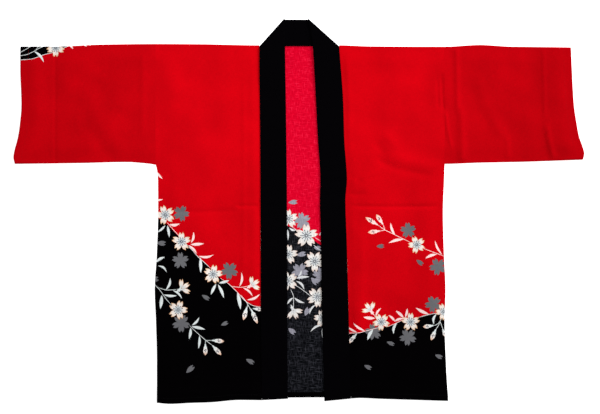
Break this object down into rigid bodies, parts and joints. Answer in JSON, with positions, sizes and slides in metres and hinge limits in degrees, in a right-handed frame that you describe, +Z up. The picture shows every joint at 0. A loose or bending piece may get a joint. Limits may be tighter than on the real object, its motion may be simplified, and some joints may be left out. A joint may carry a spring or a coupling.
{
  "type": "happi coat",
  "caption": "Short cotton happi coat laid out flat, open at the front, with straight sleeves and a folded strip collar.",
  "frame": {"origin": "on the floor, under the middle of the coat's box", "axes": "+X towards the right cuff as seen from above, +Y from the hem towards the collar, +Z up from the floor"},
  "size_m": [1.2546, 0.8466, 0.0053],
  "materials": {
    "print_cloth": "matte slubbed cotton, red over black with white and grey blossoms",
    "collar_cloth": "matte black cotton"
  },
  "bodies": {
    "root": {"back": "print_cloth", "front_left": "print_cloth", "front_right": "print_cloth", "sleeve_left": "print_cloth", "sleeve_right": "print_cloth", "collar": "collar_cloth"}
  },
  "joints": []
}
